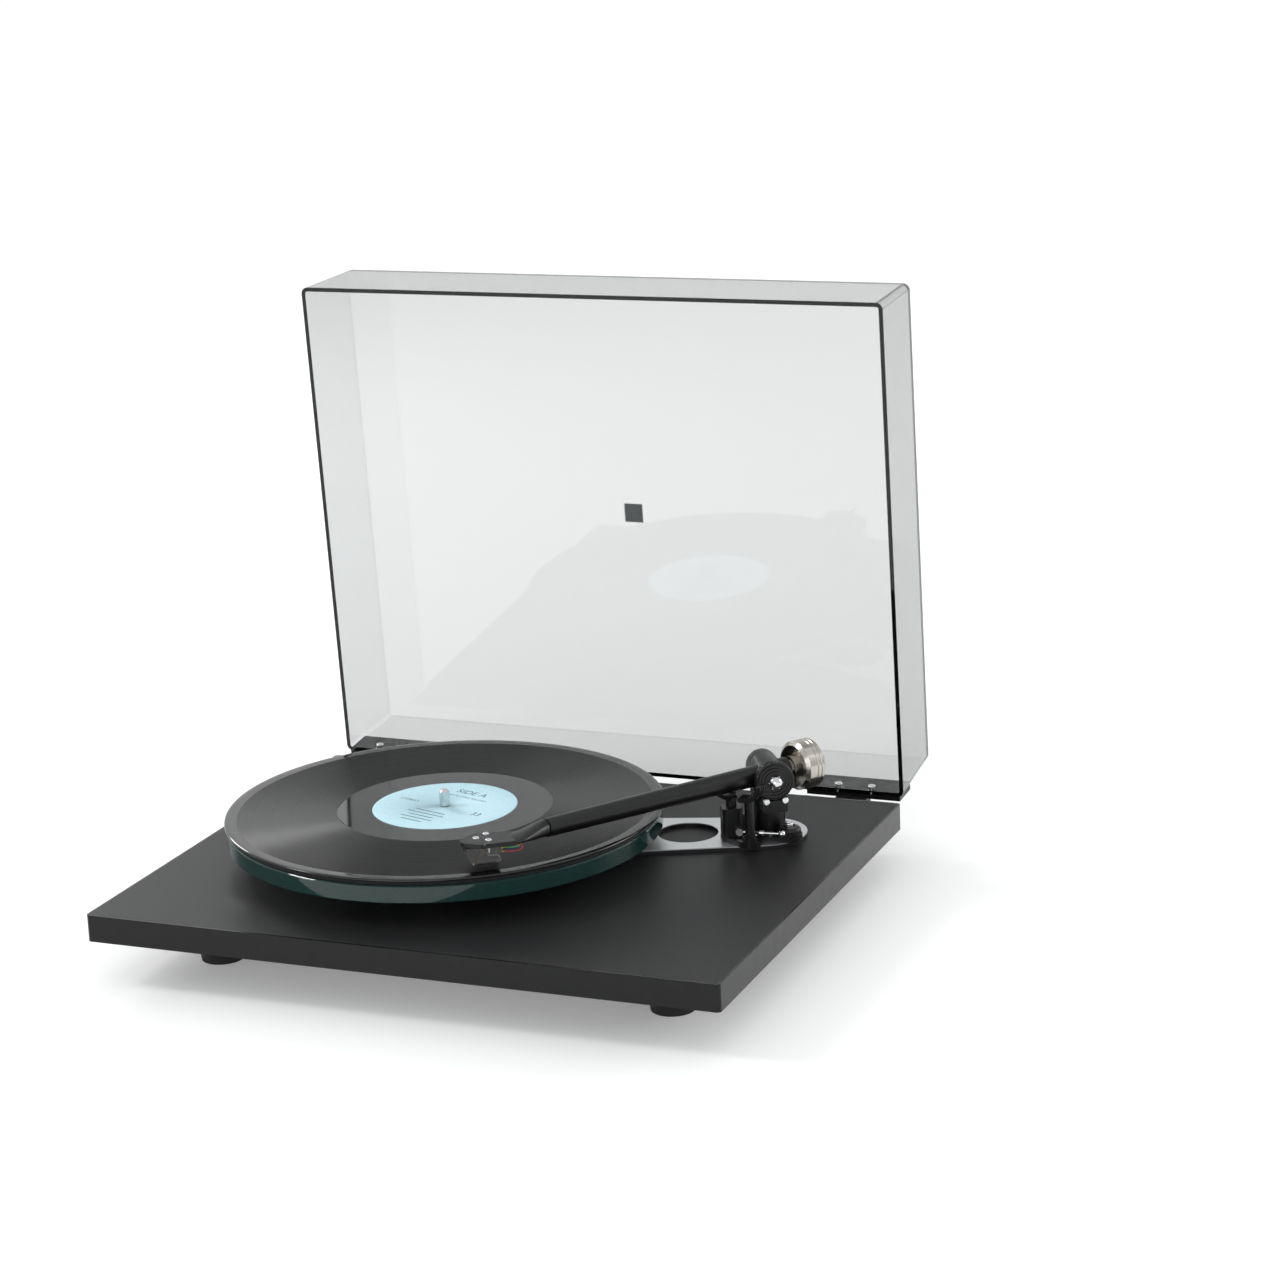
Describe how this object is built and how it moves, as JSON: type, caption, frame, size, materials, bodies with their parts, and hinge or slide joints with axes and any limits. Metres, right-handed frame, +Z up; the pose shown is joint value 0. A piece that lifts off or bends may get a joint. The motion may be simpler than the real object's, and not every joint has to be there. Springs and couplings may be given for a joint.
{
  "type": "turntable record player",
  "caption": "Belt-drive record player: slim board plinth on cup feet, glass platter, one-piece tonearm with stainless counterweight, and a hinged clear smoked lid.",
  "frame": {"origin": "on the floor, in the middle of the footprint of the plinth and the open lid", "axes": "+Z up along the record spindle, +X to the right along the front edge, +Y to the back, lid open at rest"},
  "size_m": [0.4476, 0.4422, 0.4098],
  "materials": {
    "laminate": "fine matt laminate",
    "board": "raw board, hidden",
    "edge_gloss": "polished black band",
    "brace_dark": "dark resin board",
    "brace_silver": "satin",
    "black_plastic": "moulded, slightly satin",
    "gloss_black": "gloss",
    "rubber": "soft",
    "zinc_steel": "bright",
    "steel": "turned",
    "brass": "turned",
    "acrylic": "smoked, clear",
    "glass": "polished",
    "mat_felt": "felt",
    "vinyl": "grooved",
    "paper": "printed paper",
    "alloy": "machined",
    "arm_paint": "satin powder coat",
    "circuit": "lacquered",
    "smoke_plastic": "smoked clear",
    "lead_wire": "coloured insulation",
    "gold": "plated"
  },
  "bodies": {
    "base": {"plinth_core": "board", "plinth_top_skin": "laminate", "plinth_bottom_skin": "laminate", "plinth_edge_trim": "edge_gloss", "top_brace": "brace_dark", "top_brace_skin": "brace_silver", "bottom_brace": "brace_dark", "foot_cups": "black_plastic", "foot_pads": "rubber", "foot_screws": "zinc_steel", "bearing_housing": "brass", "bearing_nut": "brass", "thrust_ball": "zinc_steel", "motor_body": "alloy", "motor_mount": "rubber", "motor_cover": "black_plastic", "drive_belt": "rubber", "inlet_housing": "black_plastic", "power_socket": "black_plastic", "control_board": "circuit", "lead_clamp": "black_plastic", "cover_screws": "zinc_steel", "hinge_brackets": "black_plastic", "bracket_screws": "zinc_steel", "hinge_pins": "zinc_steel", "arm_base": "black_plastic", "arm_pillar": "arm_paint", "arm_pillar_nut": "zinc_steel", "lift_housing": "black_plastic", "arm_rest": "black_plastic", "bias_housing": "black_plastic", "base_screws": "zinc_steel"},
    "lid": {"lid_shell": "acrylic", "hinge_leaves": "black_plastic", "lid_screws": "zinc_steel"},
    "platter": {"platter_spindle": "zinc_steel", "subplatter": "alloy", "glass_platter": "glass", "platter_mat": "mat_felt", "record": "vinyl", "record_label": "paper"},
    "motor": {"motor_shaft": "zinc_steel", "motor_pulley": "alloy"},
    "yoke": {"arm_yoke": "arm_paint", "tilt_axle": "zinc_steel", "axle_nut": "zinc_steel", "yoke_screws": "zinc_steel"},
    "arm": {"arm_tube": "arm_paint", "tail_stub": "steel", "cartridge_body": "smoke_plastic", "cartridge_screws": "zinc_steel", "cartridge_stylus": "alloy", "cartridge_pins": "gold", "cartridge_leads": "lead_wire"},
    "weight": {"counterweight": "steel"},
    "dial": {"tracking_dial": "black_plastic"},
    "lever": {"cue_lever": "zinc_steel"},
    "lift": {"lift_platform": "black_plastic"},
    "bias": {"bias_slider": "zinc_steel"}
  },
  "joints": [
    {"name": "lid_hinge", "type": "hinge", "parent": "base", "child": "lid", "pos_m": [0, 0.1461, 0.0419], "axis": [1, 0, 0], "range_deg": [0, 86.3]},
    {"name": "platter_spin", "type": "hinge", "parent": "base", "child": "platter", "pos_m": [-0.0461, -0.0381, 0.065], "axis": [0, 0, 1], "continuous": true},
    {"name": "motor_spin", "type": "hinge", "parent": "base", "child": "motor", "pos_m": [-0.14309, 0.0179, 0.0494], "axis": [0, 0, 1], "continuous": true},
    {"name": "arm_swing", "type": "hinge", "parent": "base", "child": "yoke", "pos_m": [0.158, 0.0502, 0.0949], "axis": [0, 0, 1], "range_deg": [-20, 26]},
    {"name": "arm_tilt", "type": "hinge", "parent": "yoke", "child": "arm", "pos_m": [0.158, 0.0502, 0.0949], "axis": [-0.5446, 0.8387, 0], "range_deg": [0, 3]},
    {"name": "counterweight_slide", "type": "slide", "parent": "arm", "child": "weight", "axis": [0.5299, 0.8479, -0.0154], "range_m": [-0.0015, 0.012]},
    {"name": "tracking_dial_turn", "type": "hinge", "parent": "yoke", "child": "dial", "pos_m": [0.158, 0.0502, 0.0949], "axis": [0.5446, -0.8387, 0], "range_deg": [-170, 100]},
    {"name": "cue_lever_swing", "type": "hinge", "parent": "base", "child": "lever", "pos_m": [0.1468, 0.0218, 0.0604], "axis": [0.1115, -0.9938, 0], "range_deg": [0, 41]},
    {"name": "lift_rise", "type": "slide", "parent": "base", "child": "lift", "axis": [0, 0, 1], "range_m": [0, 0.00174]},
    {"name": "bias_slide", "type": "slide", "parent": "base", "child": "bias", "axis": [-0.8387, -0.5446, 0], "range_m": [-0.0029, 0.0029]}
  ],
  "couplings": [
    {"joint": "motor_spin", "follows": "platter_spin", "ratio": 7.5},
    {"joint": "cue_lever_swing", "follows": "arm_tilt", "ratio": 13.333},
    {"joint": "lift_rise", "follows": "arm_tilt", "m_per_rad": 0.032612}
  ]
}
